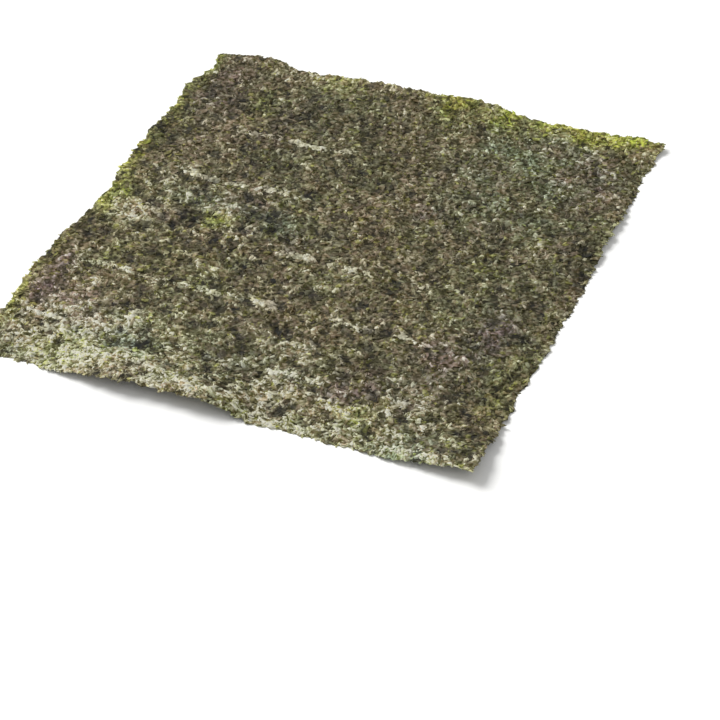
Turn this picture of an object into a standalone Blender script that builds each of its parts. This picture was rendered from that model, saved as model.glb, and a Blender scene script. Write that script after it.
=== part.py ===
# Nori sheet: one cut leaf of dried, roasted laver, lying loose on a flat surface.
#
# Frame: metres, +Z up.  X runs across the sheet and Y along it.  The origin is the middle of the sheet's
# footprint, on the surface that the sheet rests on.
#
# The sheet is one thin wavy solid.  Its outline is the cut rectangle with shallow bays and bulges and a
# ragged fringe.  Its underside lies flat on the surface except where the sheet has curled up, and its upper
# face adds the leaf's thickness: lumpy shreds, and a low ridge over each thread of the drying mat.

import bmesh
import bpy
import numpy as np
from mathutils import Vector
from mathutils.geometry import delaunay_2d_cdt

# Driving dimensions, in metres.
SHEET_WIDTH = 0.190
SHEET_LENGTH = 0.210
SHEET_THICKNESS = 0.00032
FRINGE_THICKNESS = 0.00018
FRINGE_REACH = 0.004

# The drying mat's threads press a ridge into the sheet at an even pitch along Y.
THREAD_PITCH = 0.0342
FIRST_THREAD_Y = -0.0805
THREAD_COUNT = 6
RIDGE_HEIGHT = 0.00014
RIDGE_REACH = 0.0014

# Lumps of overlapping shreds, on the upper face and, more weakly, on the underside.
LUMP_SIZE = 0.0085
LUMP_HEIGHT = 0.00016
UNDERSIDE_SHARE = 0.5
LUMP_SEED = 11

# Bays and bulges of each side: (centre along the side, reach along it, distance outwards).
FRONT_BULGES = ((-0.074, 0.010, -0.0016), (-0.038, 0.014, 0.0008), (-0.008, 0.012, 0.0003),
                (0.030, 0.009, -0.0008), (0.056, 0.012, -0.0006))
RIGHT_BULGES = ((-0.084, 0.010, 0.0005), (-0.052, 0.013, -0.0004), (-0.010, 0.024, 0.0006),
                (0.044, 0.012, -0.0005), (0.078, 0.016, -0.0010))
BACK_BULGES = ((-0.072, 0.009, 0.0030), (-0.056, 0.006, -0.0006), (-0.030, 0.018, 0.0019),
               (0.020, 0.012, 0.0034), (0.047, 0.007, -0.0006), (0.066, 0.008, 0.0013),
               (0.084, 0.007, 0.0018))
LEFT_BULGES = ((-0.084, 0.012, -0.0012), (-0.056, 0.009, 0.0010), (-0.008, 0.016, -0.0018),
               (0.004, 0.005, -0.0020), (0.046, 0.011, 0.0014), (0.080, 0.007, 0.0022),
               (0.095, 0.009, -0.0034))
CORNER_CUT = 0.0012

# The torn fringe: one outline point for each small tooth or notch.
TOOTH_PITCH = 0.0021
TOOTH_DEPTH = 0.0007
TOOTH_SEED = 5

# Where the dry sheet has curled off the surface: (x, y, reach in x, reach in y, height).
CURLS = ((-0.030, -0.108, 0.026, 0.024, 0.0050),
         (-0.002, -0.108, 0.013, 0.018, 0.0050),
         (0.098, -0.108, 0.030, 0.034, 0.0054),
         (0.004, 0.110, 0.032, 0.022, 0.0038),
         (0.098, 0.110, 0.018, 0.018, 0.0028),
         (-0.074, 0.108, 0.016, 0.018, 0.0016),
         (-0.098, -0.030, 0.020, 0.026, 0.0020),
         (0.098, 0.042, 0.018, 0.026, 0.0018))

# Slack waves over the whole sheet: (wavelength in x, wavelength in y, phase, height).
SWELLS = ((0.083, 0.290, 0.6, 0.00045),
          (-0.140, 0.076, 2.1, 0.00040))
SWELL_SUNK = 0.00035
EASE_HEIGHT = 0.00025

# Spacing of the points of each face.
ROWS_BETWEEN_THREADS = 5
COLUMN_PITCH = 0.0048
CLEAR_OF_OUTLINE = 0.0016


def smooth_noise(x, y, cell, seed):
    """Random heights in -1..1 on a square lattice of the given cell, blended by smoothstep between them."""
    size = 64
    lattice = np.random.default_rng(seed).uniform(-1.0, 1.0, (size, size))
    u, v = x / cell, y / cell
    column, row = np.floor(u).astype(int), np.floor(v).astype(int)
    s, t = u - column, v - row
    s, t = s * s * (3 - 2 * s), t * t * (3 - 2 * t)
    left, right = column % size, (column + 1) % size
    near, far = row % size, (row + 1) % size
    near_side = lattice[near, left] * (1 - s) + lattice[near, right] * s
    far_side = lattice[far, left] * (1 - s) + lattice[far, right] * s
    return near_side * (1 - t) + far_side * t


def bulge_distance(along, bulges):
    """Outward distance of a side at each place along it: a sum of bell curves."""
    return sum(out * np.exp(-((along - centre) / reach) ** 2) for centre, reach, out in bulges)


def sheet_outline():
    """The ragged outline as points, counter-clockwise from the front left corner."""
    half_width, half_length = SHEET_WIDTH / 2, SHEET_LENGTH / 2
    teeth = np.random.default_rng(TOOTH_SEED)
    sides = (
        (half_width, half_length, (1, 0), (0, -1), FRONT_BULGES),
        (half_length, half_width, (0, 1), (1, 0), RIGHT_BULGES),
        (half_width, half_length, (-1, 0), (0, 1), BACK_BULGES),
        (half_length, half_width, (0, -1), (-1, 0), LEFT_BULGES),
    )
    points = []
    for half_side, from_middle, direction, outwards, bulges in sides:
        count = round(2 * half_side / TOOTH_PITCH)
        walk = np.linspace(CORNER_CUT - half_side, half_side - CORNER_CUT, count)
        along = walk * sum(direction)
        out = from_middle + bulge_distance(along, bulges) + TOOTH_DEPTH * teeth.uniform(-1, 1, count)
        points.append(np.outer(walk, direction) + np.outer(out, outwards))
    return np.concatenate(points)


def depth_inside(points, outline):
    """Distance of each point from the nearest stretch of the outline, below zero outside it."""
    start, end = outline, np.roll(outline, -1, axis=0)
    run = end - start
    offset = points[:, None, :] - start[None, :, :]
    share = np.clip((offset * run).sum(-1) / (run * run).sum(-1), 0, 1)
    distance = np.linalg.norm(offset - share[..., None] * run, axis=-1).min(axis=1)
    straddles = (start[:, 1] > points[:, None, 1]) != (end[:, 1] > points[:, None, 1])
    rise = np.where(run[:, 1] == 0, 1, run[:, 1])
    crossing = start[:, 0] + offset[..., 1] / rise * run[:, 0]
    inside = (straddles & (points[:, None, 0] < crossing)).sum(axis=1) % 2 == 1
    return np.where(inside, distance, -distance)


def thread_positions():
    """The Y of each thread ridge."""
    return FIRST_THREAD_Y + THREAD_PITCH * np.arange(THREAD_COUNT)


def interior_points(outline):
    """Staggered rows of points inside the outline, with three rows on each thread ridge."""
    gap = (THREAD_PITCH - 2 * RIDGE_REACH) / (ROWS_BETWEEN_THREADS + 1)
    offsets = [-RIDGE_REACH, 0.0]
    offsets += [RIDGE_REACH + gap * step for step in range(ROWS_BETWEEN_THREADS + 1)]
    first = FIRST_THREAD_Y - THREAD_PITCH
    rows = np.array([first + THREAD_PITCH * period + offset
                     for period in range(THREAD_COUNT + 1) for offset in offsets])
    half = SHEET_WIDTH / 2 + COLUMN_PITCH
    columns = np.arange(-half, half, COLUMN_PITCH)
    stagger = COLUMN_PITCH / 2 * (np.arange(len(rows)) % 2)
    x = columns[None, :] + stagger[:, None]
    y = np.broadcast_to(rows[:, None], x.shape)
    points = np.stack([x.ravel(), y.ravel()], axis=1)
    return points[depth_inside(points, outline) > CLEAR_OF_OUTLINE]


def underside_height(x, y):
    """Height of the underside: curls and slack waves, easing onto the surface where they dip below it."""
    height = np.full_like(x, -SWELL_SUNK)
    for centre_x, centre_y, reach_x, reach_y, lift in CURLS:
        height += lift * np.exp(-((x - centre_x) / reach_x) ** 2 - ((y - centre_y) / reach_y) ** 2)
    for wave_x, wave_y, phase, lift in SWELLS:
        height += lift * np.sin(2 * np.pi * (x / wave_x + y / wave_y) + phase)
    height += UNDERSIDE_SHARE * LUMP_HEIGHT * smooth_noise(x, y, LUMP_SIZE, LUMP_SEED)
    raised = np.maximum(height, 0.0)
    return raised * raised / (raised + EASE_HEIGHT)


def leaf_thickness(x, y, depth):
    """Thickness: the fringe's at the outline, the sheet's inside, plus lumps and thread ridges."""
    inward = np.clip(depth / FRINGE_REACH, 0, 1)
    thickness = FRINGE_THICKNESS + (SHEET_THICKNESS - FRINGE_THICKNESS) * inward
    thickness += inward * LUMP_HEIGHT * np.maximum(smooth_noise(x, y, LUMP_SIZE, LUMP_SEED), -0.6)
    for ridge_y in thread_positions():
        thickness += inward * RIDGE_HEIGHT * np.clip(1 - np.abs(y - ridge_y) / RIDGE_REACH, 0, 1)
    return thickness


def build_sheet_mesh():
    """One closed thin solid: the same triangles on both faces, joined by a rim of triangles."""
    outline = sheet_outline()
    plan = np.concatenate([outline, interior_points(outline)])
    rim = list(range(len(outline)))
    found = delaunay_2d_cdt([Vector(point) for point in plan], [], [rim], 1, 1e-7)
    triangles = found[2]
    x, y = plan.T
    depth = np.maximum(depth_inside(plan, outline), 0.0)
    low = underside_height(x, y)
    high = low + leaf_thickness(x, y, depth)
    middle = (outline.min(axis=0) + outline.max(axis=0)) / 2
    x, y = x - middle[0], y - middle[1]

    shape = bmesh.new()
    under = [shape.verts.new(point) for point in zip(x, y, low)]
    upper = [shape.verts.new(point) for point in zip(x, y, high)]
    for a, b, c in triangles:
        shape.faces.new((upper[a], upper[b], upper[c]))
        shape.faces.new((under[c], under[b], under[a]))
    for a in rim:
        b = (a + 1) % len(rim)
        shape.faces.new((under[a], under[b], upper[b]))
        shape.faces.new((under[a], upper[b], upper[a]))
    mesh = bpy.data.meshes.new("nori_sheet")
    shape.to_mesh(mesh)
    shape.free()
    return mesh


def srgb(hex_code):
    """A hex colour as linear red, green, blue and alpha."""
    channels = np.array([int(hex_code[i:i + 2], 16) for i in (0, 2, 4)]) / 255
    linear = np.where(channels <= 0.04045, channels / 12.92, ((channels + 0.055) / 1.055) ** 2.4)
    return (*linear, 1.0)


def roasted_laver_material():
    """Dark olive-green pressed laver with a faint gloss."""
    material = bpy.data.materials.new("roasted_laver")
    material.use_nodes = True
    shader = material.node_tree.nodes["Principled BSDF"]
    shader.inputs["Base Color"].default_value = srgb("5e5a42")
    shader.inputs["Roughness"].default_value = 0.55
    shader.inputs["Metallic"].default_value = 0.0
    return material


def clear_scene():
    for item in list(bpy.data.objects):
        bpy.data.objects.remove(item, do_unlink=True)


clear_scene()
sheet = bpy.data.objects.new("nori_sheet", build_sheet_mesh())
sheet.data.materials.append(roasted_laver_material())
bpy.context.scene.collection.objects.link(sheet)
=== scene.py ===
# %% [markdown]
# # A sheet of roasted nori
# Nori is laver, a thin red seaweed, chopped, poured over a bamboo mat as a wet pulp and dried.  The sheet is
# thousands of overlapping shreds, each thinner than paper, and the threads that tie the mat leave a faint
# ridge across it every 34 mm.  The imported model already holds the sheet's size and curls as one plain wavy
# solid.  It is loaded first as a fixed frame, and everything below is fitted to it.

import bpy
import numpy as np
from mathutils import Matrix, Vector


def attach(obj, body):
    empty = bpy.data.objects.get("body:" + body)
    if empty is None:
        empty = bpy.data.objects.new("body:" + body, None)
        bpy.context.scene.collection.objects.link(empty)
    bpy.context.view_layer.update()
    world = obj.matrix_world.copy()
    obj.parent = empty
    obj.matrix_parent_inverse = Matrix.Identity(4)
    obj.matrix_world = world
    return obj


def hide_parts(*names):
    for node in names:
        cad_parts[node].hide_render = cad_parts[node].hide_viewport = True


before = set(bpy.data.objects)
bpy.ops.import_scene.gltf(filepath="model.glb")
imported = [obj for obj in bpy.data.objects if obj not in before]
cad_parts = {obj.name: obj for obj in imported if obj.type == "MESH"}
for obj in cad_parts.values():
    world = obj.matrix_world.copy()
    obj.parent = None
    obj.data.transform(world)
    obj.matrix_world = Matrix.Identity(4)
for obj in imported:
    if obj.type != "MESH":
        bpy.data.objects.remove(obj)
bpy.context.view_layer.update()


def in_mm(lengths):
    """Metres times 1000, rounded, to be printed."""
    return (1000 * np.asarray(lengths)).round(2).tolist()


# %% [markdown]
# ## The sheet's form
# The finished leaf must lie where the plain solid lies.  Its points could be copied from the solid, but the
# shreds need the height at any place, so bays, curls and ridges are worked out again from the same named
# sizes.  They are in metres, but for the patches further down and whatever is named MM.

# %% Sizes of the sheet
SHEET_WIDTH = 0.190
SHEET_LENGTH = 0.210
HALF_WIDTH, HALF_LENGTH = SHEET_WIDTH / 2, SHEET_LENGTH / 2
SHEET_THICKNESS = 0.00032
FRINGE_THICKNESS = 0.00018
FRINGE_REACH = 0.004
print("cut sheet, mm:", in_mm((SHEET_WIDTH, SHEET_LENGTH, SHEET_THICKNESS)))


# %% Rows of numbers
def rows_of(*arrays):
    """One row for each place, with what every array says there."""
    return np.stack(arrays, axis=-1)


print("rows of places:", rows_of(np.arange(3), np.arange(3)).tolist())

# %% [markdown]
# ## Smooth noise
# Chance makes most of what is seen: lumps, wrinkles, the thick and thin of the pulp.  Blender's noise
# textures work in materials, where a mesh can't read them, so the same idea is written in numpy: random
# heights on a square lattice, blended in between.  The seed makes every run give the same sheet.


# %% Noise on a lattice
def smooth_noise(x, y, cell, seed, size=64):
    """Heights in -1..1: random values on a lattice of the given cell, blended by 3t^2 - 2t^3 between them."""
    lattice = np.random.default_rng(seed).uniform(-1.0, 1.0, (size, size))
    u, v = x / cell, y / cell
    column, row = np.floor(u).astype(int), np.floor(v).astype(int)
    s, t = u - column, v - row
    s, t = s * s * (3 - 2 * s), t * t * (3 - 2 * t)
    left, right = column % size, (column + 1) % size
    near, far = row % size, (row + 1) % size
    near_side = lattice[near, left] * (1 - s) + lattice[near, right] * s
    far_side = lattice[far, left] * (1 - s) + lattice[far, right] * s
    return near_side * (1 - t) + far_side * t


# %% Noise that is turned, and sums of it
WIDE_LATTICE = 256


def turned_noise(x, y, cell, turn, seed):
    """Smooth noise on a lattice turned by an angle, so that none of its lines runs along the sheet."""
    cos, sin = np.cos(turn), np.sin(turn)
    return smooth_noise(cos * x - sin * y, sin * x + cos * y, cell, seed, WIDE_LATTICE)


def mixed_noise(parts, x, y):
    """Sum of share times turned noise, for parts that are each (share, cell, turn, seed)."""
    return sum(share * turned_noise(x, y, cell, turn, seed) for share, cell, turn, seed in parts)


# Even places on the sheet's inner nine tenths, on which later cells measure what they made.
SAMPLED, SAMPLES = 0.95, 300
sample_x, sample_y = np.meshgrid(*(np.linspace(-SAMPLED * half, SAMPLED * half, SAMPLES)
                                   for half in (HALF_WIDTH, HALF_LENGTH)))
print("spread of one smooth noise:", smooth_noise(sample_x, sample_y, 0.01, 1).std().round(2))

# %% [markdown]
# ## The ragged outline
# The sheet is cut to a rectangle, but dry laver tears as it is cut, so each side has bays, bulges and small
# teeth.  It could be a filled curve, but the triangles of a fill are long and uneven.  Here each side is a
# list of distances outwards, and an even grid is moved by them near the edge.

# %% Bays, bulges and teeth
# Each side's bays and bulges: (centre along the side, reach along it, distance outwards).
BULGES = {
    "front": ((-0.074, 0.010, -0.0016), (-0.038, 0.014, 0.0008), (-0.008, 0.012, 0.0003),
              (0.030, 0.009, -0.0008), (0.056, 0.012, -0.0006)),
    "right": ((-0.084, 0.010, 0.0005), (-0.052, 0.013, -0.0004), (-0.010, 0.024, 0.0006),
              (0.044, 0.012, -0.0005), (0.078, 0.016, -0.0010)),
    "back": ((-0.072, 0.009, 0.0030), (-0.056, 0.006, -0.0006), (-0.030, 0.018, 0.0019),
             (0.020, 0.012, 0.0034), (0.047, 0.007, -0.0006), (0.066, 0.008, 0.0013),
             (0.084, 0.007, 0.0018)),
    "left": ((-0.084, 0.012, -0.0012), (-0.056, 0.009, 0.0010), (-0.008, 0.016, -0.0018),
             (0.004, 0.005, -0.0020), (0.046, 0.011, 0.0014), (0.080, 0.007, 0.0022),
             (0.095, 0.009, -0.0034)),
}
CORNER_CUT = 0.0012
TOOTH_PITCH = 0.0021
TOOTH_DEPTH = 0.0007
TOOTH_SEED = 5


def side_profiles():
    """For each side, places along it and the outward distance there: bell-curve bulges plus random teeth."""
    teeth = np.random.default_rng(TOOTH_SEED)
    profiles = {}
    for side, half_side, turn in (("front", HALF_WIDTH, 1), ("right", HALF_LENGTH, 1),
                                  ("back", HALF_WIDTH, -1), ("left", HALF_LENGTH, -1)):
        count = round(2 * half_side / TOOTH_PITCH)
        along = turn * np.linspace(CORNER_CUT - half_side, half_side - CORNER_CUT, count)
        out = TOOTH_DEPTH * teeth.uniform(-1, 1, count)
        for centre, reach, distance in BULGES[side]:
            out += distance * np.exp(-((along - centre) / reach) ** 2)
        profiles[side] = (along[::turn], out[::turn])
    return profiles


PROFILES = side_profiles()
outline_box = np.array([
    [-HALF_WIDTH - PROFILES["left"][1].max(), -HALF_LENGTH - PROFILES["front"][1].max()],
    [HALF_WIDTH + PROFILES["right"][1].max(), HALF_LENGTH + PROFILES["back"][1].max()]])
CUT_MIDDLE = outline_box.mean(axis=0)
print("outline, mm:", in_mm(outline_box - CUT_MIDDLE))

# %% From the plain rectangle to the outline
EDGE_FADE = 0.010
FRAY_PITCH = 0.0009
FRAY_DEPTH = 0.0007


def side_distance(side, along):
    """Outward distance of a side at each place along it, with a finer fray on top of the teeth."""
    fray = smooth_noise(along, np.zeros_like(along), FRAY_PITCH, sum(map(ord, side)), WIDE_LATTICE)
    return np.interp(along, *PROFILES[side]) + FRAY_DEPTH * fray


def onto_sheet(x, y):
    """Moves places of the plain rectangle by each side's distance times (1 - inset / fade)^2."""
    def pull(inset):
        return np.clip(1 - inset / EDGE_FADE, 0, 1) ** 2

    right = pull(HALF_WIDTH - x) * side_distance("right", y)
    left = pull(HALF_WIDTH + x) * side_distance("left", y)
    back = pull(HALF_LENGTH - y) * side_distance("back", x)
    front = pull(HALF_LENGTH + y) * side_distance("front", x)
    return x + right - left, y + back - front


def inset_from_edge(x, y):
    """Distance inwards from the nearest side of the plain rectangle."""
    return np.minimum(HALF_WIDTH - np.abs(x), HALF_LENGTH - np.abs(y))


corner = onto_sheet(np.array([HALF_WIDTH]), np.array([HALF_LENGTH]))
print("the back right corner is carried to, mm:", in_mm(corner))

# %% [markdown]
# ## Curls, slack waves and thread ridges
# Dry nori takes up damp and curls off the table at its edges.  A cloth simulation could curl a sheet too, but
# not where it is wanted.  Here a curl is a bell curve and a slack wave a sine, and their sum is eased flat
# where it would dip below the table.  On that lies the leaf's thickness, with lumps and thread ridges.

# %% The underside's height
# Curls off the table: (x, y, reach in x, reach in y, height).
CURLS = (
    (-0.030, -0.108, 0.026, 0.024, 0.0050), (-0.002, -0.108, 0.013, 0.018, 0.0050),
    (0.098, -0.108, 0.030, 0.034, 0.0054), (0.004, 0.110, 0.032, 0.022, 0.0038),
    (0.098, 0.110, 0.018, 0.018, 0.0028), (-0.074, 0.108, 0.016, 0.018, 0.0016),
    (-0.098, -0.030, 0.020, 0.026, 0.0020), (0.098, 0.042, 0.018, 0.026, 0.0018)
)

# Slack waves: (wavelength in x, wavelength in y, phase, height).
SWELLS = ((0.083, 0.290, 0.6, 0.00045),
          (-0.140, 0.076, 2.1, 0.00040))
SWELL_SUNK = 0.00035
EASE_HEIGHT = 0.00025

LUMP_SIZE = 0.0085
LUMP_HEIGHT = 0.00016
LUMP_SEED = 11
UNDERSIDE_SHARE = 0.5


def underside_height(x, y):
    """Sum h of curls, waves and lumps, then h^2 / (h + ease) where h is above the table, and 0 elsewhere."""
    height = np.full_like(x, -SWELL_SUNK)
    for centre_x, centre_y, reach_x, reach_y, lift in CURLS:
        height += lift * np.exp(-((x - centre_x) / reach_x) ** 2 - ((y - centre_y) / reach_y) ** 2)
    for wave_x, wave_y, phase, lift in SWELLS:
        height += lift * np.sin(2 * np.pi * (x / wave_x + y / wave_y) + phase)
    height += UNDERSIDE_SHARE * LUMP_HEIGHT * smooth_noise(x, y, LUMP_SIZE, LUMP_SEED)
    raised = np.maximum(height, 0.0)
    return raised * raised / (raised + EASE_HEIGHT)


flat_share = (underside_height(sample_x, sample_y) < EASE_HEIGHT).mean()
print(f"{100 * flat_share:.0f}% of the sheet lies within {1000 * EASE_HEIGHT:.2f} mm of the table")

# %% The leaf's thickness
THREAD_PITCH = 0.0342
FIRST_THREAD_Y = -0.0805
RIDGE_HEIGHT = 0.00014
RIDGE_REACH = 0.0014
DEEPEST_LUMP = -0.6


def leaf_thickness(x, y, inset):
    """From the fringe's thickness to the sheet's, plus lumps and a triangular ridge over each thread."""
    inward = np.clip(inset / FRINGE_REACH, 0, 1)
    thickness = FRINGE_THICKNESS + (SHEET_THICKNESS - FRINGE_THICKNESS) * inward
    thickness += inward * LUMP_HEIGHT * np.maximum(smooth_noise(x, y, LUMP_SIZE, LUMP_SEED), DEEPEST_LUMP)
    from_thread = np.abs((y - FIRST_THREAD_Y + THREAD_PITCH / 2) % THREAD_PITCH - THREAD_PITCH / 2)
    return thickness + inward * RIDGE_HEIGHT * np.clip(1 - from_thread / RIDGE_REACH, 0, 1)


def upper_height(x, y, inset):
    """Height of the underside plus the leaf's thickness."""
    return underside_height(x, y) + leaf_thickness(x, y, inset)


thickness = leaf_thickness(sample_x, sample_y, inset_from_edge(sample_x, sample_y))
print("the leaf's least and greatest thickness, mm:", in_mm((thickness.min(), thickness.max())))

# %% [markdown]
# ## Where the colour changes
# Roasting turns laver from purple to green and thin parts look yellow green, partly as a painted glow of
# light through the film.  The pale zone is painted sheen, mostly along the curled front and at the left.  The
# zones could be painted on an image, but that blurs when it is seen close.  Here each zone is a weight from 0
# to 1 at every place, its border broken up by noise.  The meshes store the weights, and their material reads
# them.

# %% Zones of the sheet
# Patches: (x, y, reach in x, reach in y, strength), with the first four in millimetres.
ZONES = {
    # Painted sheen, mostly along the curled front and at the left, where the film catches the light.
    "pale": (
        (-68, -92, 22, 13, 1.4), (-34, -98, 24, 7, 0.9), (20, -96, 34, 10, 0.8), (61, -86, 12, 14, 0.8),
        (-80, -5, 9, 7, 1.1), (-64, 8, 10, 5, 0.6), (-44, 2, 8, 5, 0.3), (-50, -70, 14, 6, 0.5),
        (14, -62, 10, 3, 0.7), (16, -78, 9, 4, 0.5), (-54, 103, 10, 4, 0.3), (72, -104, 18, 4, 0.8)
    ),
    # Yellow green of thin film, partly a painted glow of light coming through it at the thin edges.
    "green": (
        (50, 106, 45, 6, 0.5), (72, 102, 14, 6, 1), (10, 100, 8, 12, 0.45), (38, 100, 16, 6, 0.5),
        (-96, 40, 6, 75, 0.65), (-92, -2, 10, 12, 0.6), (-46, -1, 7, 5, 0.4), (-95, -75, 5, 30, 0.4),
        (-40, 102, 10, 6, 0.25), (-62, -92, 18, 10, 0.12), (88, -60, 8, 30, 0.2), (46, -88, 12, 10, 0.25),
        (-62, 76, 7, 12, 0.3), (-60, -30, 30, 14, 0.12)
    ),
    "cool": (
        (48, 86, 30, 18, 0.5), (54, 52, 28, 26, 0.6), (-26, 4, 14, 10, 0.7), (-54, 10, 12, 6, 0.5),
        (-44, -82, 12, 8, 0.6), (4, -72, 20, 10, 0.4), (-50, 76, 22, 14, 0.25), (74, -20, 20, 50, 0.2),
        (72, -99, 22, 12, 0.5)
    ),
    "plum": (
        (75, -30, 7, 16, 0.9), (62, -56, 10, 14, 0.8), (-88, -54, 6, 18, 0.9), (-40, 12, 6, 8, 0.6),
        (40, -76, 10, 13, 0.7), (74, 74, 16, 20, 0.4), (-82, 80, 12, 18, 0.5), (-72, -68, 12, 10, 0.4),
        (28, 32, 6, 7, 0.5)
    ),
}
print("patches of each zone:", {zone: len(patches) for zone, patches in ZONES.items()})

# %% Each zone's weight
RAGS = 0.8
WIDE_RAG, FINE_RAG = 0.008, 0.0035
FINE_LATTICE = 128
# A weight above this one shows clearly.
CLEARLY = 0.3


def bells(patches, x, y):
    """Sum of strength times exp(-dx^2 - dy^2), with dx and dy counted in reaches from each patch's centre."""
    x, y = 1000 * x, 1000 * y
    return sum(strength * np.exp(-((x - centre_x) / reach_x) ** 2 - ((y - centre_y) / reach_y) ** 2)
               for centre_x, centre_y, reach_x, reach_y, strength in patches)


def zone_weight(name, x, y):
    """The zone's bells times 1 + rags x noise, kept from 0 to 1, so that its borders are ragged."""
    seed = sum(map(ord, name))
    noise = smooth_noise(x, y, WIDE_RAG, seed) + RAGS * smooth_noise(x, y, FINE_RAG, seed + 1, FINE_LATTICE)
    return np.clip(bells(ZONES[name], x, y) * (1 + RAGS * noise), 0, 1)


for zone in ZONES:
    print(f"{zone}: {100 * (zone_weight(zone, sample_x, sample_y) > CLEARLY).mean():.0f}% of the sheet")

# %% [markdown]
# ## Thick and thin pulp, and painted sheen
# Where the wet pulp lay thick the sheet is dark, where it lay thin it is light, and where the roasting was
# weak it is brown.  One noise alone would look like fog, so three sizes of noise are added up, and patches
# are laid on top where this sheet is plainly darker or lighter.  The band along the front is painted sheen.

# %% Light and dark patches, and painted sheen
# Patches as for the zones.  Darker places have a strength below zero and lighter ones above it.
TONE_AND_SHEEN_PATCHES = (
    (-50, 75, 50, 18, -0.5), (-60, 45, 40, 10, -0.3), (88, 20, 12, 60, -0.3), (40, -20, 60, 40, -0.15),
    (-26, 3, 8, 7, -0.9), (-58, -5, 5, 6, -0.5), (-42, -20, 8, 6, -0.7), (-88, 40, 6, 10, -0.6),
    (-12, -60, 12, 8, -0.4), (-84, -24, 14, 10, -0.5), (34, -66, 22, 10, -0.2), (82, -70, 10, 20, -0.4),
    # The band along the front, at (0, -100), is painted sheen where the curled front catches the light, and
    # the light patches on the back right edge add to the painted glow of light through the thin film.
    (0, -100, 110, 14, 0.44), (56, 90, 40, 16, 0.32), (62, 104, 36, 6, 0.5), (72, 103, 14, 5, 0.5),
    (-66, -92, 24, 12, 0.4), (-66, -22, 14, 6, 0.3), (-26, 44, 36, 14, -0.3), (-10, -28, 14, 9, -0.4),
    (-30, 78, 16, 12, -0.25), (10, 50, 20, 12, -0.2), (50, 40, 40, 16, -0.15), (12, -70, 16, 6, -0.3),
    (-10, -46, 20, 6, 0.3), (30, -90, 20, 10, 0.3), (0, 92, 100, 12, 0.12), (-80, -6, 10, 8, 0.6),
    (-55, 103, 12, 6, 0.3), (-34, 98, 12, 10, 0.25), (20, 66, 16, 12, 0.2), (12, 18, 14, 14, 0.15),
    (-70, -50, 24, 11, 0.45), (82, -50, 12, 12, -0.25), (88, -88, 14, 14, -0.35), (62, 28, 12, 12, -0.2),
    (62, 68, 14, 10, 0.2), (22, -32, 12, 10, -0.2), (-18, -12, 10, 10, 0.15), (-78, -12, 10, 10, 0.15)
)
# Where the film is the most crinkled, and so the most uneven.
CRINKLED = ((-55, 0, 40, 24, 0.8), (-40, -85, 70, 26, 0.7), (40, -92, 60, 18, 0.6), (0, -44, 70, 14, 0.4))
print("crinkled:", f"{100 * (bells(CRINKLED, sample_x, sample_y) > CLEARLY).mean():.0f}% of the sheet")

# %% Mottle and hue
# (share, cell, turn, seed) of each noise.
MOTTLE = ((0.40, 0.016, 0.5, 70), (0.50, 0.008, 0.9, 71), (0.60, 0.0045, 1.3, 72))
HUE_DRIFT = ((0.55, 0.018, 0.4, 75), (0.55, 0.007, 1.0, 76))


def hue(x, y):
    """From brown at 0 to green at 1: a half plus two noises, kept in that range."""
    return np.clip(0.5 + mixed_noise(HUE_DRIFT, x, y), 0, 1)


print("spread of the mottle:", mixed_noise(MOTTLE, sample_x, sample_y).std().round(2))

# %% [markdown]
# ## Crinkled film
# As the pulp dries, the film shrinks into wrinkles with wiggly crests.  They could be sculpted, but a simple
# formula gives such lines: a noise folded at zero has a sharp crest wherever it changes sign.  The crests
# raise the surface, and the tone paints them lighter as a painted highlight and the hollows between them
# darker as painted shade.

# %% Crest lines
# (share, cell, turn, seed) of each size of crest.
CRESTS = ((0.45, 0.0042, 0.6, 21), (0.55, 0.0026, 1.1, 22))
CREST_WARP = 0.0012
WARP_CELL = 0.0038
WARP_TURN = 0.3
WARP_SEEDS = (31, 32)

# The mat drains the pulp along its reeds, so the crinkles are longer roughly that way.
GRAIN_DIRECTION = np.radians(113)
GRAIN_STRETCH = 1.4


def crests(x, y):
    """(1 - |noise|)^3 for two sizes of noise, 0 to 1, at places that a third noise has pushed about, with
    distances along the grain divided by its stretch."""
    cos, sin = np.cos(GRAIN_DIRECTION), np.sin(GRAIN_DIRECTION)
    push_along, push_across = (CREST_WARP * turned_noise(x, y, WARP_CELL, WARP_TURN, seed)
                               for seed in WARP_SEEDS)
    along = (cos * x + sin * y) / GRAIN_STRETCH + push_along
    across = cos * y - sin * x + push_across
    return sum(share * (1 - np.abs(turned_noise(along, across, cell, turn, seed))) ** 3
               for share, cell, turn, seed in CRESTS)


print("mean height of the crests, 0 to 1:", crests(sample_x, sample_y).mean().round(2))

# %% Relief and tone
CREST_HEIGHT = 0.00080
MIDDLE_CREST = 0.42
EDGE_RELIEF = 0.35
EVEN_MOTTLE, CRINKLED_MOTTLE = 0.40, 0.80
# Painted highlight on the crests and painted shade between them: their share of the tone.
EVEN_CREST_SHADING, CRINKLED_CREST_SHADING = 1.95, 1.80


def relief(x, y, inset):
    """Height of the crinkles on the leaf: crests less a middle value, less and less towards the edge."""
    inward = np.clip(inset / FRINGE_REACH, EDGE_RELIEF, 1)
    return inward * CREST_HEIGHT * (crests(x, y) - MIDDLE_CREST)


def tone(x, y):
    """Light and dark, about -1 to 1: the patches with their painted sheen, plus the mottle and the crests'
    painted highlight and shade, each times an even share and one that grows where the film is crinkled."""
    crinkled = bells(CRINKLED, x, y)
    mottle = (EVEN_MOTTLE + CRINKLED_MOTTLE * crinkled) * mixed_noise(MOTTLE, x, y)
    crest = (EVEN_CREST_SHADING + CRINKLED_CREST_SHADING * crinkled) * (crests(x, y) - MIDDLE_CREST)
    return bells(TONE_AND_SHEEN_PATCHES, x, y) + mottle + crest


print("spread of the tone:", tone(sample_x, sample_y).std().round(2))

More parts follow.
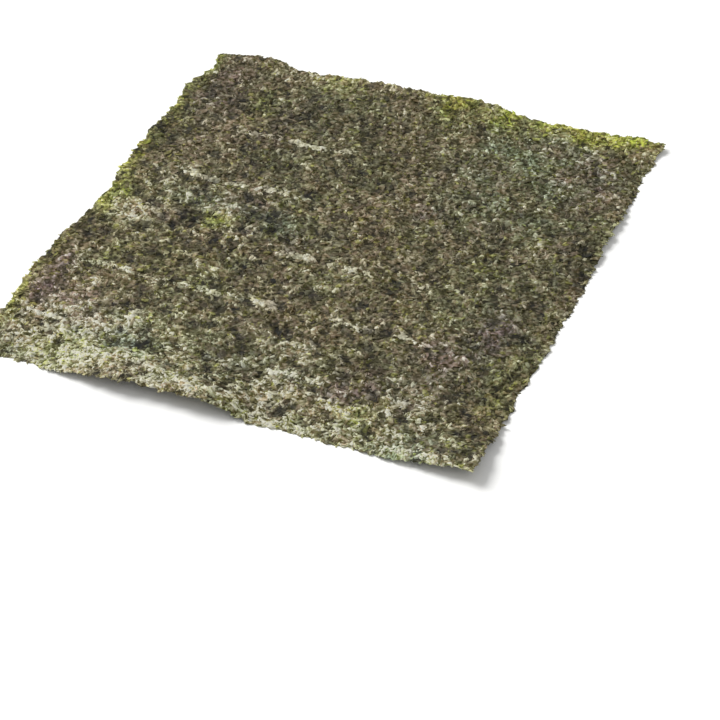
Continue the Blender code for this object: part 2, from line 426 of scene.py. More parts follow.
# %% [markdown]
# ## From arrays to a mesh
# A mesh is a list of points and a list of triangles, and each point can carry numbers, called attributes.
# Adding points one by one is slow for a million triangles, so foreach_set hands over a whole array at a time.
# Every mesh of the sheet stores the same six numbers.


# %% What each point stores
def film_attributes(x, y):
    """The weight of each zone, the tone and the hue at each place."""
    weights = {zone: zone_weight(zone, x, y) for zone in ZONES}
    return {**weights, "tone": tone(x, y), "hue": hue(x, y)}


print("each point stores:", ", ".join(film_attributes(sample_x[:1], sample_y[:1])))


# %% Points and triangles into an object
def add_object(name, data):
    """Makes an object of a mesh, lamp or camera and puts it into the scene."""
    item = bpy.data.objects.new(name, data)
    bpy.context.scene.collection.objects.link(item)
    return item


def add_piece(name, points, triangles, attributes, corner_uv, sharp_angle):
    """Makes a mesh object with one float attribute for each entry and a map for its colours, named OFBake.
    Edges that turn by more than the sharp angle, in radians, stay crisp."""
    mesh = bpy.data.meshes.new(name)
    mesh.vertices.add(len(points))
    mesh.vertices.foreach_set("co", points.astype(np.float32).ravel())
    mesh.loops.add(triangles.size)
    mesh.loops.foreach_set("vertex_index", triangles.astype(np.int32).ravel())
    mesh.polygons.add(len(triangles))
    mesh.polygons.foreach_set("loop_start", np.arange(0, triangles.size, 3, dtype=np.int32))
    for key, values in attributes.items():
        layer = mesh.attributes.new(key, "FLOAT", "POINT")
        layer.data.foreach_set("value", values.astype(np.float32).ravel())
    mesh.uv_layers.new(name="OFBake").uv.foreach_set("vector", corner_uv.astype(np.float32).ravel())
    mesh.update(calc_edges=True)
    mesh.shade_smooth()
    mesh.set_sharp_from_angle(angle=sharp_angle)
    top = 1000 * points[:, 2].max()
    print(f"{name}: {len(points)} points, {len(triangles)} triangles, highest point {top:.2f} mm")
    return add_object(name, mesh)


# %% [markdown]
# ## The pressed web
# The leaf itself is a thin web of pressed pulp.  A plane with Displace and Solidify modifiers could make it,
# but its underside must lie flat while its upper face is crinkled.  So a grid of points is carried onto the
# outline, once for the upper face and once for the underside, with a thin rim between the two.

# %% The web's grid
WEB_STEP = 0.00093
web_columns = round(SHEET_WIDTH / WEB_STEP) + 1
web_rows = round(SHEET_LENGTH / WEB_STEP) + 1


def web_faces(rows, columns):
    """Two triangles for each cell of the grid, the same turned over for the underside, and two for each step
    of the rim.  Returns the faces of both sides, the rim's and its length."""
    at = np.arange(rows * columns).reshape(rows, columns)
    a, b, c, d = at[:-1, :-1].ravel(), at[:-1, 1:].ravel(), at[1:, 1:].ravel(), at[1:, :-1].ravel()
    upper = np.concatenate([rows_of(a, b, c), rows_of(a, c, d)])
    loop = np.concatenate([at[0, :-1], at[:-1, -1], at[-1, :0:-1], at[:0:-1, 0]])
    after = np.roll(loop, -1)
    below, after_below = loop + at.size, after + at.size
    rim = np.concatenate([rows_of(below, after_below, after), rows_of(below, after, loop)])
    return np.concatenate([upper, upper[:, ::-1] + at.size]), rim, len(loop)


print(f"the web's grid: {web_columns} x {web_rows} points on each face")

# %% The web's map
MAP_MARGIN = 0.01
FACES_TOP = 0.94
RIM_BAND = (0.955, 0.985)


def web_map(rows, columns, faces, loop_length):
    """The upper face fills the left half of the map, the underside the right, and the rim a strip on top."""
    across, up = np.meshgrid(np.linspace(MAP_MARGIN, 0.5 - MAP_MARGIN, columns),
                             np.linspace(MAP_MARGIN, FACES_TOP, rows))
    left_half = rows_of(across.ravel(), up.ravel())
    both = np.concatenate([left_half, left_half + (0.5, 0)])
    marks = np.linspace(MAP_MARGIN, 1 - MAP_MARGIN, loop_length + 1)
    here, there = marks[:-1], marks[1:]
    low, high = (np.full(loop_length, level) for level in RIM_BAND)
    first = rows_of(here, low, there, low, there, high).reshape(-1, 2)
    second = rows_of(here, low, there, high, here, high).reshape(-1, 2)
    return np.concatenate([both[faces.ravel()], first, second])


print("the web's map: faces up to", FACES_TOP, "and the rim within", RIM_BAND)

# %% The web itself
FINEST_CELL, FINEST_HEIGHT, FINEST_SEED = 0.0016, 0.00007, 23
THINNEST = 0.00006
UNDERSIDE_RELIEF = 0.3
UNDERSIDE_SHIFT = 0.05
CRISP_WEB = 1.2


def build_web():
    """Upper face: leaf, relief and the finest noise, never closer to the underside than the thinnest film.
    Underside: its own height plus a share of the relief that belongs 50 mm further on."""
    flat_x, flat_y = np.meshgrid(np.linspace(-HALF_WIDTH, HALF_WIDTH, web_columns),
                                 np.linspace(-HALF_LENGTH, HALF_LENGTH, web_rows))
    inset = inset_from_edge(flat_x, flat_y)
    x, y = onto_sheet(flat_x, flat_y)
    raised = np.maximum(relief(x + UNDERSIDE_SHIFT, y, inset), 0)
    lower = underside_height(x, y) + UNDERSIDE_RELIEF * raised
    finest = FINEST_HEIGHT * smooth_noise(x, y, FINEST_CELL, FINEST_SEED, WIDE_LATTICE)
    upper = np.maximum(upper_height(x, y, inset) + relief(x, y, inset) + finest, lower + THINNEST)
    plan = (x - CUT_MIDDLE[0], y - CUT_MIDDLE[1])
    points = np.concatenate([rows_of(*plan, face).reshape(-1, 3) for face in (upper, lower)])
    faces, rim, loop_length = web_faces(web_rows, web_columns)
    attributes = {name: np.tile(values.ravel(), 2) for name, values in film_attributes(x, y).items()}
    corner_uv = web_map(web_rows, web_columns, faces, loop_length)
    return add_piece("pressed_web", points, np.concatenate([faces, rim]), attributes, corner_uv, CRISP_WEB)


web = build_web()

# %% [markdown]
# ## Flakes
# A flake is a scrap of film that has dried flat, 2 to 4 mm long.  One mesh copied thousands of times would
# show its copies, so each flake gets its own outline: a ring of seven points, one in the middle and one
# underneath.  All flakes of a kind are worked out at once, in arrays with a row for each flake.

# %% A flake's shape
RING_POINTS = 7
RING_STRAY = 0.3
RING_RADIUS = (0.62, 1.20)
MIDDLE_STRAY = 0.35
FLAKE_BEND = 0.35
RING_LIFT = (0.1, 0.6)
MIDDLE_LIFT = (0.5, 1.0)
KEEL = -0.6
# The two discs in a cell of the map: how wide and high each is, and where their middles stand.
DISC, TOP_DISC, BOTTOM_DISC = (0.22, 0.44), (0.25, 0.5), (0.75, 0.5)


def flake_points(draw, count, length, width, height):
    """Ring point i stands at angle 2 pi i / 7 and a bit, on an ellipse of uneven radius that is bent like a
    bean.  Returns x, y and lift of the ring, of the middle of the top and of the one point underneath."""
    stray = draw.uniform(-RING_STRAY, RING_STRAY, (count, RING_POINTS))
    around = 2 * np.pi * (np.arange(RING_POINTS) + stray) / RING_POINTS
    radius = draw.uniform(*RING_RADIUS, (count, RING_POINTS))
    middle = draw.uniform(-MIDDLE_STRAY, MIDDLE_STRAY, (2, count, 1))
    along = np.concatenate([radius * np.cos(around), middle[0], 0 * middle[0]], axis=1)
    across = np.concatenate([radius * np.sin(around), middle[1], 0 * middle[1]], axis=1)
    across = across + draw.normal(0, FLAKE_BEND, (count, 1)) * (along ** 2 - 0.5)
    ring_lift = draw.uniform(*RING_LIFT, (count, RING_POINTS))
    middle_lift = draw.uniform(*MIDDLE_LIFT, (count, 1))
    lift = np.concatenate([ring_lift, middle_lift, np.full((count, 1), KEEL)], axis=1)
    return along * length / 2, across * width / 2, lift * height


def flake_faces_and_map():
    """Fan of seven triangles on top and seven below, and their places in a cell: two discs side by side."""
    ring = np.arange(RING_POINTS)
    after = (ring + 1) % RING_POINTS
    top = rows_of(ring, after, np.full(RING_POINTS, RING_POINTS))
    bottom = rows_of(after, ring, np.full(RING_POINTS, RING_POINTS + 1))
    turn = 2 * np.pi * ring / RING_POINTS
    disc = np.concatenate([rows_of(np.cos(turn), np.sin(turn)) * DISC, np.zeros((2, 2))])
    cell_map = np.concatenate([disc[top] + TOP_DISC, disc[bottom] + BOTTOM_DISC])
    return np.concatenate([top, bottom]), cell_map


SHAPES = {"flake": (flake_points, *flake_faces_and_map())}
print("a flake:", len(SHAPES["flake"][1]), "triangles")

# %% [markdown]
# ## Folds
# A fold is a scrap that dried on its edge, a crumpled line that catches the light.  A bevelled curve could
# make one, but a round one.  Here a profile of foot, crest and foot is carried along a bent line.

# %% A fold's shape
STATIONS = 5
FOLD_TURN = 0.9
FOLD_WAVER = 0.35
FOLD_TAPER = 0.97
FOLD_SWELL = (0.7, 1.25)
CREST_STRAY = 0.5
FOOT_DEPTH = 0.00008
# A cell of the map: how far the strips run across it, where foot, crest and foot lie for the upper strips
# and for the one underneath, and the corners of the two end triangles.
STRIP_SPAN = (0.08, 0.92)
UPPER_MAP, UNDER_MAP = (0.60, 0.32, 0.04), (0.96, 0.82, 0.68)
END_MAPS = (((0.01, 0.60), (0.01, 0.04), (0.05, 0.32)), ((0.99, 0.60), (0.95, 0.32), (0.99, 0.04)))


def fold_points(draw, count, length, width, height):
    """The line's heading turns evenly from end to end and wavers; steps along it add up to its stations.
    At each stand a foot, a crest and a foot, with breadth and height by the square root of 1 - taper t^2."""
    t = np.linspace(-1, 1, STATIONS)
    heading = draw.normal(0, FOLD_TURN, (count, 1)) * t + draw.normal(0, FOLD_WAVER, (count, STATIONS))
    step = length / (STATIONS - 1)
    line_x, line_y = np.cumsum(np.cos(heading), axis=1) * step, np.cumsum(np.sin(heading), axis=1) * step
    for line in (line_x, line_y):
        line -= line.mean(axis=1, keepdims=True)
    swell = np.sqrt(1 - FOLD_TAPER * t ** 2) * draw.uniform(*FOLD_SWELL, (count, STATIONS))
    crest_side = draw.uniform(-CREST_STRAY, CREST_STRAY, (count, STATIONS)) * swell
    side = rows_of(swell, crest_side, -swell) * width / 2
    local_x = line_x[..., None] - np.sin(heading)[..., None] * side
    local_y = line_y[..., None] + np.cos(heading)[..., None] * side
    foot = np.full_like(swell, -FOOT_DEPTH)
    lift = rows_of(foot, height * swell, foot)
    return local_x.reshape(count, -1), local_y.reshape(count, -1), lift.reshape(count, -1)


def fold_faces_and_map():
    """Two strips up to the crest, one strip underneath and a triangle at each end, with places in a cell."""
    foot = 3 * np.arange(STATIONS - 1)
    left, crest, right = foot, foot + 1, foot + 2
    top = np.concatenate([rows_of(*corner) for corner in (
        (left, crest, crest + 3), (left, crest + 3, left + 3),
        (crest, right, right + 3), (crest, right + 3, crest + 3))])
    bottom = np.concatenate([rows_of(left, left + 3, right + 3), rows_of(left, right + 3, right)])
    last = 3 * (STATIONS - 1)
    ends = np.array([[0, 2, 1], [last, last + 1, last + 2]])
    u = np.repeat(np.linspace(*STRIP_SPAN, STATIONS), 3)
    on_top, below = (rows_of(u, np.tile(band, STATIONS)) for band in (UPPER_MAP, UNDER_MAP))
    return np.concatenate([top, bottom, ends]), np.concatenate([on_top[top], below[bottom], END_MAPS])


SHAPES["fold"] = (fold_points, *fold_faces_and_map())
print("a fold:", len(SHAPES["fold"][1]), "triangles")

# %% [markdown]
# ## Laying the shreds
# The pulp settles as a heap of shreds that lie any way round and hug what is below them.  A simulation of
# 50,000 of them would take hours.  Here every shred is turned at random, tilted a little and set down point
# by point on the crinkled surface.  It may hang over the edge by a little, which frays the cut.

# %% How far a shred may hang over
OVERHANG = 0.0002


def within_overhang(place, half, overhang):
    """Places beyond the side are drawn back to it: the overhang times tanh of how far out they were."""
    beyond = np.maximum(np.abs(place) - half, 0)
    return np.sign(place) * (np.minimum(np.abs(place), half) + overhang * np.tanh(beyond / overhang))


print("a point 2 mm beyond the cut is drawn back to, mm:", in_mm(within_overhang(0.002, 0, OVERHANG)))

# %% Laying one kind of shred
SIZE_SPREAD = 0.30
SIZE_LIMITS = (0.5, 1.9)
TONE_SPREAD = 0.25
LOWEST = 0.00003
LIFT_LEFT = 0.1
CRISP_SHRED = 1.7


def lay_shreds(name, shape, places, size, seed, tilt=0.08, angle=0.0, sway=np.pi, above=True, lighter=0.0,
               overhang=OVERHANG):
    """Lays one shred of the shape at each place: its points, times a random size, are turned by the angle
    and a random sway, moved to the place, and lifted by the surface there plus their own height and a tilt.
    Size is length, width and height.  A shred's tone is half its place's, half its points', plus chance."""
    draw = np.random.default_rng(seed)
    count = len(places)
    make_points, faces, cell_map = SHAPES[shape]
    parts = make_points(draw, count, *size)
    scale = np.clip(draw.lognormal(0, SIZE_SPREAD, (count, 1)), *SIZE_LIMITS)
    local_x, local_y, lift = (part * scale for part in parts)
    lean_x, lean_y = draw.normal(0, tilt, (2, count, 1))
    lift = lift + lean_x * local_x + lean_y * local_y
    turn = (angle + draw.normal(0, sway, count))[:, None]
    x = places[:, :1] + np.cos(turn) * local_x - np.sin(turn) * local_y
    y = places[:, 1:] + np.sin(turn) * local_x + np.cos(turn) * local_y
    x = within_overhang(x, HALF_WIDTH, overhang)
    y = within_overhang(y, HALF_LENGTH, overhang)
    inset = inset_from_edge(x, y)
    x, y = onto_sheet(x, y)
    if above:
        z = upper_height(x, y, inset) + relief(x, y, inset) + lift
    else:
        z = underside_height(x, y) - lift
        faces = faces[:, ::-1]
        cell_map = cell_map[:, ::-1]
    z = np.maximum(z, LOWEST + LIFT_LEFT * np.abs(lift))
    points = rows_of(x - CUT_MIDDLE[0], y - CUT_MIDDLE[1], z).reshape(-1, 3)
    starts = local_x.shape[1] * np.arange(count)
    triangles = (starts[:, None, None] + faces[None]).reshape(-1, 3)

    ones = np.ones((1, local_x.shape[1]))
    attributes = {key: values[:, None] * ones for key, values in film_attributes(*places.T).items()}
    chance = draw.normal(lighter, TONE_SPREAD, (count, 1))
    attributes["tone"] = 0.5 * (attributes["tone"] + tone(x, y)) + chance
    cells = int(np.ceil(np.sqrt(count)))
    cell = rows_of(np.arange(count) % cells, np.arange(count) // cells)
    corner_uv = (cell[:, None, None] + cell_map[None]) / cells
    return add_piece(name, points, triangles, attributes, corner_uv, CRISP_SHRED)


print(f"shreds are {SIZE_LIMITS[0]} to {SIZE_LIMITS[1]} times their kind's size")

# %% [markdown]
# ## Where shreds land
# Most shreds lie everywhere, but green ones gather in the green zones, pale ones where the tone is light and
# in the painted sheen, and dark specks as painted shade in hollows.  A weight map could be painted for each
# kind.  Instead many random places are tried, and each is kept with a chance that a formula gives for it.

# %% Random places
TRIALS_FOR_EACH = 14


def even_places(count, seed):
    """Random places all over the sheet, each as likely as any other."""
    draw = np.random.default_rng(seed)
    return draw.uniform(-0.5, 0.5, (count, 2)) * (SHEET_WIDTH, SHEET_LENGTH)


def chosen_places(count, seed, chance):
    """The first so many random places whose random number is less than their chance."""
    trial = even_places(TRIALS_FOR_EACH * count, seed)
    kept = trial[np.random.default_rng(seed + 1).random(len(trial)) < chance(*trial.T)]
    return kept[:count]


print("1000 even places, their mean in mm:", in_mm(even_places(1000, 1).mean(axis=0)))

# %% The chance of each place
ANYWHERE, BY_TONE, BY_PALENESS, BY_CRINKLES, LEAST = 0.06, 0.25, 0.60, 0.20, 0.03
GREEN_FLOOR = 0.20
HOLLOW_BELOW = 0.38
HOLLOW_GAIN = 2.4


def on_green_parts(x, y):
    """The floor, plus what is left of one times the green zone's weight."""
    return GREEN_FLOOR + (1 - GREEN_FLOOR) * zone_weight("green", x, y)


def on_light_parts(x, y):
    """A chance anywhere, plus a share each of tone, the pale zone's painted sheen and crinkles, but no less
    than the least.
    """
    chance = ANYWHERE + BY_TONE * tone(x, y) + BY_PALENESS * zone_weight("pale", x, y)
    return np.clip(chance + BY_CRINKLES * bells(CRINKLED, x, y), LEAST, 1)


def in_hollows(x, y):
    """The gain times how far the crests are below the hollows' rim, from 0 to 1."""
    return np.clip(HOLLOW_GAIN * (HOLLOW_BELOW - crests(x, y)), 0, 1)


for chance in (on_green_parts, on_light_parts, in_hollows):
    print(f"mean chance {chance.__name__}: {chance(sample_x, sample_y).mean():.2f}")

# %% [markdown]
# ## The sheet's shreds
# Laver fronds differ in age and roasting, so the sheet is a mix of a few sorts of shred, each with its own
# size and colour.  They could be one mesh with many materials, but a piece for each sort is easier to take up
# again.  Flat scraps come first and curled ones after them.

# %% Flakes
shreds = [
    lay_shreds("dark_flakes", "flake", even_places(6500, 41), (0.0038, 0.0023, 0.00012), 51, lighter=-0.25),
    lay_shreds("olive_flakes", "flake", even_places(8000, 42), (0.0032, 0.0020, 0.00014), 52),
    lay_shreds("brown_flakes", "flake", even_places(7500, 43), (0.0034, 0.0020, 0.00014), 53),
    lay_shreds("green_flakes", "flake", chosen_places(4000, 45, on_green_parts), (0.0026, 0.0015, 0.00016),
               55, tilt=0.12),
    # Nearly black specks in the hollows: painted shade.
    lay_shreds("hollow_shade_flakes", "flake", chosen_places(4200, 48, in_hollows), (0.0017, 0.0013, 0.00020), 58,
               tilt=0.02),
    lay_shreds("underside_flakes", "flake", even_places(5600, 46), (0.0040, 0.0023, 0.00014), 56, tilt=0.04,
               above=False),
]

# %% Folds
ALONG_GRAIN = {"angle": GRAIN_DIRECTION, "sway": 0.9}
shreds += [
    lay_shreds("olive_folds", "fold", even_places(6000, 49), (0.0030, 0.0010, 0.00040), 59, **ALONG_GRAIN),
    lay_shreds("brown_folds", "fold", even_places(4500, 50), (0.0030, 0.0010, 0.00040), 60, **ALONG_GRAIN),
    # Pale film and painted glints, gathered where the tone is light and in the painted sheen.
    lay_shreds("pale_folds", "fold", chosen_places(6000, 44, on_light_parts), (0.0025, 0.0012, 0.00030), 54,
               lighter=0.1, **ALONG_GRAIN),
]

# %% [markdown]
# ## The torn fringe
# A knife tears dry laver as much as it cuts it, so shred ends stand out all round the edge.  Hair particles
# could do that, but they don't leave Blender as a mesh.  Instead narrow folds of random size and turn point
# outwards at an even pitch along the four sides.

# %% The fringe
FRINGE_PITCH = 0.0009
FRINGE_INSET = 0.0007
FRINGE_OVERHANG = 0.0018
FRINGE_SWAY = 0.40


def fringe_places():
    """Places along the four sides at an even pitch, and the outward direction at each."""
    x = np.arange(-HALF_WIDTH, HALF_WIDTH, FRINGE_PITCH)
    y = np.arange(-HALF_LENGTH, HALF_LENGTH, FRINGE_PITCH)
    at_x, at_y = np.full_like(y, HALF_WIDTH - FRINGE_INSET), np.full_like(x, HALF_LENGTH - FRINGE_INSET)
    sides = ((x, -at_y), (at_x, y), (x, at_y), (-at_x, y))
    outwards = np.repeat(np.radians((-90, 0, 90, 180)), (len(x), len(y), len(x), len(y)))
    return np.concatenate([rows_of(*side) for side in sides]), outwards


edge_places, outwards = fringe_places()
shreds.append(lay_shreds("fringe_folds", "fold", edge_places, (0.0027, 0.0008, 0.00016), 61, angle=outwards,
                         sway=FRINGE_SWAY, overhang=FRINGE_OVERHANG))

# %% [markdown]
# ## Thread marks
# Cotton threads tie the reeds of the mat.  The wet film dries first over them and turns pale, in short runs
# with gaps.  A stripe in the material would be too even, so folds are laid along each thread and kept only
# where a noise along it is high.

# %% Where the thread marks run
# For each thread from the front: (number, first x, last x, folds per metre).
THREAD_RUNS = (
    (0, -0.086, 0.030, 2400), (0, 0.052, 0.072, 5000), (1, -0.088, -0.020, 5000), (1, -0.019, -0.003, 12000),
    (1, 0.018, 0.060, 3000), (2, -0.016, -0.001, 11000), (2, 0.005, 0.015, 9000), (2, 0.015, 0.045, 1500),
    (3, -0.090, -0.018, 3000), (3, -0.068, -0.056, 6000), (3, -0.040, -0.028, 4000),
    (4, -0.064, -0.045, 3500), (4, -0.042, -0.016, 4600)
)
# A hand-tied mat's threads stray from their even pitch by up to 4 mm.
THREAD_STRAY = (0.0040, 0.0034, 0.0002, 0.0006, 0.0)
THREAD_WANDER = 0.0011
WANDER_LENGTH = 0.009
THREAD_BREADTH = 0.0007
RUN_LENGTH = 0.0045
GAP_LEVELS = (-0.8, 0.5)
WANDER_SEED, RUN_SEED = 90, 60


def thread_places(seed):
    """Random places along each run, off the thread's line by its stray, a slow wander and a normal spread,
    and kept where a noise of the runs' length beats a random level."""
    draw = np.random.default_rng(seed)
    rows = []
    for run, (number, first, last, density) in enumerate(THREAD_RUNS):
        x = draw.uniform(first, last, int((last - first) * density))
        wander = THREAD_WANDER * smooth_noise(x, 0 * x, WANDER_LENGTH, WANDER_SEED + number)
        wander += THREAD_STRAY[number]
        y = FIRST_THREAD_Y + number * THREAD_PITCH + wander + draw.normal(0, THREAD_BREADTH, len(x))
        keep = smooth_noise(x, 0 * x, RUN_LENGTH, RUN_SEED + run) > draw.uniform(*GAP_LEVELS, len(x))
        rows.append(rows_of(x, y)[keep])
    return np.concatenate(rows)


streak_places = thread_places(47)
print("places along the threads:", len(streak_places))

# %% The thread marks
shreds.append(lay_shreds("thread_folds", "fold", streak_places, (0.0025, 0.0014, 0.00036), 57, sway=0.7,
                         lighter=0.2))
print("triangles of all shreds:", sum(len(piece.data.polygons) for piece in shreds))

# %% [markdown]
# ## Laver as a material
# Dried laver is a thin film full of pigment: dark olive where it is thick, yellow green in a single layer,
# pale where it dried with air below it.  It isn't metallic and has a faint gloss from the roasting.  Light
# through the film could be traced, but none reaches it from below, so all colour goes into the base colour,
# and the yellow green at the thin edges is partly a painted glow of light coming through them.
# Colours are sRGB hex values, and one function turns them to linear ones.


# %% Colours
def linear(hex_code):
    """Red, green, blue and alpha: c / 12.92 for a channel up to 0.04045, else ((c + 0.055) / 1.055)^2.4."""
    channels = np.array([int(hex_code[i:i + 2], 16) for i in (0, 2, 4)]) / 255
    values = np.where(channels <= 0.04045, channels / 12.92, ((channels + 0.055) / 1.055) ** 2.4)
    return (*values.tolist(), 1.0)


print("olive 625d43 in linear light:", [round(value, 3) for value in linear("625d43")])


# %% Adding a node
def add_node(tree, kind, inputs=None, **settings):
    """Adds a node, sets its properties, and sets or links its inputs."""
    node = tree.nodes.new(kind)
    for key, value in settings.items():
        setattr(node, key, value)
    for key, value in (inputs or {}).items():
        if isinstance(value, bpy.types.NodeSocket):
            tree.links.new(value, node.inputs[key])
        else:
            node.inputs[key].default_value = value
    return node


# %% The film's colour
# Chopped laver is 1 to 2 mm wide, so its speckle is too.
SPECKLE_MM = 1.5
SPECKLE_STOPS = (0.32, 0.50, 0.70)
# What each zone does to red, green and blue where its weight is 1: the colour times one plus this.
# The pale tint is painted sheen.
ZONE_TINTS = {"pale": (0.70, 0.81, 0.88), "cool": (-0.14, 0.04, 0.14), "plum": (0.02, -0.11, 0.28),
              # The green tint is partly a painted glow of light through the thin film.
              "green": (0.38, 0.58, -0.42)}
NO_TINT = (1.0, 1.0, 1.0)
# Where the hue is 0 the roasting was weak and some red pigment is left; at 1 it has all gone green.
BROWN_TINT = (1.01, 0.955, 0.950)
BROWN_TO_GREEN = (-0.07, 0.045, -0.05)
TONE_GAIN = 0.55
# Thick laver is never black, and dry film never as white as paper.
DARKEST_FILM = (0.004, 0.004, 0.002)
BRIGHTEST_FILM = (0.50, 0.49, 0.40)


def film_colour(tree, place, tones):
    """Three tones by noise, times (1 + tint x weight) for every zone, times a tint from brown to green by
    the hue, times 1 + gain x tone, and kept between the darkest and the brightest film."""
    speckle = add_node(tree, "ShaderNodeTexNoise",
                       {"Vector": place, "Scale": 1000 / SPECKLE_MM, "Detail": 1.0})
    ramp = add_node(tree, "ShaderNodeValToRGB", {"Fac": speckle.outputs["Fac"]})
    stops = ramp.color_ramp.elements
    stops.new(SPECKLE_STOPS[1])
    for stop, position, hex_code in zip(stops, SPECKLE_STOPS, tones):
        stop.position, stop.color = position, linear(hex_code)
    colour = ramp.outputs["Color"]
    stored = {key: add_node(tree, "ShaderNodeAttribute", attribute_name=key).outputs["Fac"]
              for key in (*ZONES, "tone", "hue")}
    changes = [(stored[zone], tint, NO_TINT) for zone, tint in ZONE_TINTS.items()]
    changes += [(stored["hue"], BROWN_TO_GREEN, BROWN_TINT), (stored["tone"], [TONE_GAIN] * 3, NO_TINT)]
    steps = [("MULTIPLY", add_node(tree, "ShaderNodeVectorMath", dict(enumerate(change)),
                                   operation="MULTIPLY_ADD").outputs[0]) for change in changes]
    steps += [("MAXIMUM", DARKEST_FILM), ("MINIMUM", BRIGHTEST_FILM)]
    for operation, other in steps:
        colour = add_node(tree, "ShaderNodeVectorMath", {0: colour, 1: other}, operation=operation).outputs[0]
    return colour


print("tints:", ZONE_TINTS)

# %% The film's surface
# Dried film is pitted by cells of about 0.05 mm, too fine to show, so its dimples are drawn 1.2 mm wide.
DIMPLE_MM = 1.2
DIMPLE_DEPTH = 0.00008
DIMPLE_STRENGTH = 0.4
NOISE_LIMITS = (0.3, 0.7)
ROUGHNESS_SPREAD = 0.12
LAVER_IOR = 1.45
MATT_SPECULAR = 0.20


def laver_material(name, tones, roughness=0.70):
    """Dried laver: the film's colour, a roughness that one noise takes up and down by the spread, and bumps
    from the same noise, so that its dimples are glossier than its rims."""
    material = bpy.data.materials.new(name)
    material.use_nodes = True
    tree = material.node_tree
    shader = tree.nodes["Principled BSDF"]
    shader.inputs["IOR"].default_value = LAVER_IOR
    shader.inputs["Specular IOR Level"].default_value = MATT_SPECULAR
    place = add_node(tree, "ShaderNodeTexCoord").outputs["Object"]
    tree.links.new(film_colour(tree, place, tones), shader.inputs["Base Color"])
    dimples = add_node(tree, "ShaderNodeTexNoise",
                       {"Vector": place, "Scale": 1000 / DIMPLE_MM, "Detail": 2.0}).outputs["Fac"]
    rough = add_node(tree, "ShaderNodeMapRange",
                     {"Value": dimples, "From Min": NOISE_LIMITS[0], "From Max": NOISE_LIMITS[1],
                      "To Min": roughness - ROUGHNESS_SPREAD, "To Max": roughness + ROUGHNESS_SPREAD})
    tree.links.new(rough.outputs[0], shader.inputs["Roughness"])
    bump = add_node(tree, "ShaderNodeBump",
                    {"Height": dimples, "Strength": DIMPLE_STRENGTH, "Distance": DIMPLE_DEPTH})
    tree.links.new(bump.outputs[0], shader.inputs["Normal"])
    return material


print(f"speckle {SPECKLE_MM} mm, dimples {DIMPLE_MM} mm wide")

# %% Each kind gets its laver
# Each has a dark, a middle and a light tone, and the glossier ones a roughness of their own.
LAVERS = {
    # Pulp pressed to a web by its own weight: dull, and painted dark as painted shade, since it lies below
    # everything else.
    "pressed_web": laver_material("pressed_laver", ("2b2708", "4e492d", "7a745a")),
    # Scraps that dried two or three layers thick: their pigment swallows most of the light.
    "dark_flakes": laver_material("layered_laver", ("252105", "443f22", "68634a")),
    # Well roasted scraps: the heat has turned the red pigment, so the eye sees olive.
    "olive_flakes": laver_material("olive_roasted_laver", ("38350f", "625d43", "8a856d")),
    # Weakly roasted scraps keep some red pigment and look brown.
    "brown_flakes": laver_material("brown_roasted_laver", ("3b3310", "635741", "887d69")),
    # Single layers, so thin that light comes through them: yellow green.
    "green_flakes": laver_material("single_layer_laver", ("403e12", "6a6836", "918e5e")),
    # Nearly black specks laid in the hollows: painted shade.
    "hollow_shade_flakes": laver_material("hollow_shade_laver", ("1e1a08", "2b2613", "3b341e")),
    # The face that dried against the mat: flat, dull and a little darker.
    "underside_flakes": laver_material("mat_dried_laver", ("28240f", "4b462f", "726d55")),
    # Scraps that dried on edge: the same olive and brown, painted lighter all over as a painted highlight,
    # since they stand up and face the light.
    "olive_folds": laver_material("olive_curled_laver", ("423e19", "6d694f", "938f77")),
    "brown_folds": laver_material("brown_curled_laver", ("3e3513", "675c47", "8c826d")),
    # Film that lifted off and dried with air below it: pale, and lighter still as painted glints, with a
    # little more gloss.
    "pale_folds": laver_material("air_dried_and_glint_laver", ("68634c", "97927c", "bbb69f"), 0.6),
    # Torn ends, a single layer thick: light grey green all round the edge.
    "fringe_folds": laver_material("torn_laver", ("757150", "94906c", "b3af8c")),
    # Film drawn tight over a thread of the mat: the palest and the glossiest.
    "thread_folds": laver_material("thread_pressed_laver", ("8f8a72", "aca791", "c6c2ad"), 0.5),
}
for piece in [web, *shreds]:
    piece.data.materials.append(LAVERS[piece.name])
    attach(piece, "root")
    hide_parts("nori_sheet")
print(len(LAVERS), "lavers on", 1 + len(shreds), "pieces")

# %% [markdown]
# ## The table
# The sheet lies on plain white card, which is matt and takes a soft shadow where the sheet curls off it.  A
# backdrop with a curved back would hide the horizon, but the camera looks down so far that one large flat
# square fills the view.

# %% A square of card
TABLE_SIZE = 40.0
CARD_WHITE = "f4f4f2"
CARD_ROUGHNESS = 0.9


def add_table():
    """One square of the table's size round the origin, at height 0, of uncoated white card."""
    half = TABLE_SIZE / 2
    corners = [(-half, -half, 0), (half, -half, 0), (half, half, 0), (-half, half, 0)]
    mesh = bpy.data.meshes.new("table")
    mesh.from_pydata(corners, [], [(0, 1, 2, 3)])
    card = bpy.data.materials.new("uncoated_card")
    card.use_nodes = True
    shader = card.node_tree.nodes["Principled BSDF"]
    shader.inputs["Base Color"].default_value = linear(CARD_WHITE)
    shader.inputs["Roughness"].default_value = CARD_ROUGHNESS
    mesh.materials.append(card)
    add_object("table", mesh)


add_table()
print(f"table: {TABLE_SIZE} m square")

# %% [markdown]
# ## Light
# Small lamps would throw hard shadows, and the crinkles would look like gravel, so a studio uses large
# softboxes.  Here a broad far light stands for one at the left, a weaker and broader one fills the shadows
# from the right, and the world gives the light that white walls send back.

# %% Two lights and the room
ROOM_LIGHT = 0.41


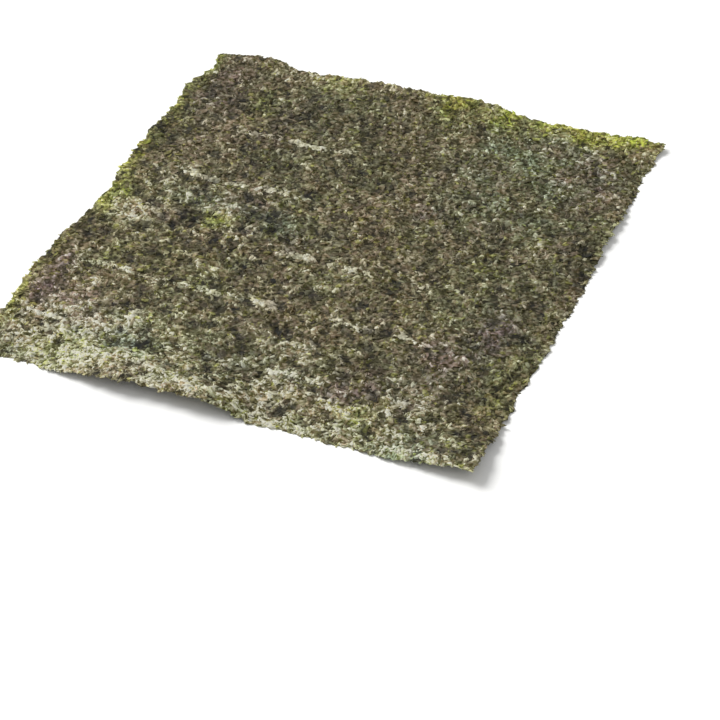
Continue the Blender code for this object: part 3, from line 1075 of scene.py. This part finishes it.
def add_softbox(name, towards, breadth, strength):
    """A far light in the given direction, of an angular breadth in degrees, the same all over the table."""
    lamp = bpy.data.lights.new(name, "SUN")
    lamp.angle = np.radians(breadth)
    lamp.energy = strength
    add_object(name, lamp).rotation_euler = Vector(towards).to_track_quat("Z", "Y").to_euler()
    print(f"{name}: {breadth} degrees broad, strength {strength}")


add_softbox("key_light", (-1.25, 0.45, 0.95), 36, 4.25)
add_softbox("fill_light", (0.9, -0.6, 1.1), 60, 0.55)
world = bpy.data.worlds.new("studio")
world.use_nodes = True
background = world.node_tree.nodes["Background"].inputs
background["Color"].default_value = (1, 1, 1, 1)
background["Strength"].default_value = ROOM_LIGHT
bpy.context.scene.world = world
bpy.context.scene.view_settings.view_transform = "Standard"

# %% [markdown]
# ## Camera
# The camera looks down from the front right through a long lens, which keeps the far edge nearly as long as
# the near one.  It could be aimed by a Track To constraint.  Here it is placed by angles and a distance, so
# that the sheet's middle falls where it should in the render.

# %% Placing the camera
PICTURE_SIDE = 720
# The lens's focal length, counted in pixels of the render.
FOCAL_PIXELS = 2652
AZIMUTH, ELEVATION, ROLL = np.radians((23.33, 38.51, -1.05))
DISTANCE = 0.980
# The pixel on which the sheet's middle falls, from the left and from the top.
SHEET_PIXEL = (331.3, 244.6)
SENSOR_MM = 36.0


def add_camera():
    """From the sheet's middle go the distance along the line of sight, less the middle's offset in the
    render: pixels / focal pixels x distance, to the right and down."""
    back = np.array([np.sin(AZIMUTH) * np.cos(ELEVATION), -np.cos(AZIMUTH) * np.cos(ELEVATION),
                     np.sin(ELEVATION)])
    level = np.array([np.cos(AZIMUTH), np.sin(AZIMUTH), 0.0])
    upright = np.cross(back, level)
    right = np.cos(ROLL) * level + np.sin(ROLL) * upright
    up = -np.sin(ROLL) * level + np.cos(ROLL) * upright
    to_right, down = (np.array(SHEET_PIXEL) - PICTURE_SIDE / 2) / FOCAL_PIXELS * DISTANCE
    middle = np.array([-CUT_MIDDLE[0], -CUT_MIDDLE[1], 0.0])
    lens = bpy.data.cameras.new("camera")
    lens.sensor_width = SENSOR_MM
    lens.lens = FOCAL_PIXELS / PICTURE_SIDE * SENSOR_MM
    camera = add_object("camera", lens)
    matrix = np.eye(4)
    matrix[:3, :3] = rows_of(right, up, back)
    matrix[:3, 3] = middle - to_right * right + down * up + DISTANCE * back
    camera.matrix_world = Matrix(matrix.tolist())
    return camera


camera = add_camera()
bpy.context.scene.camera = camera
print("camera at, m:", [round(value, 3) for value in camera.matrix_world.translation])
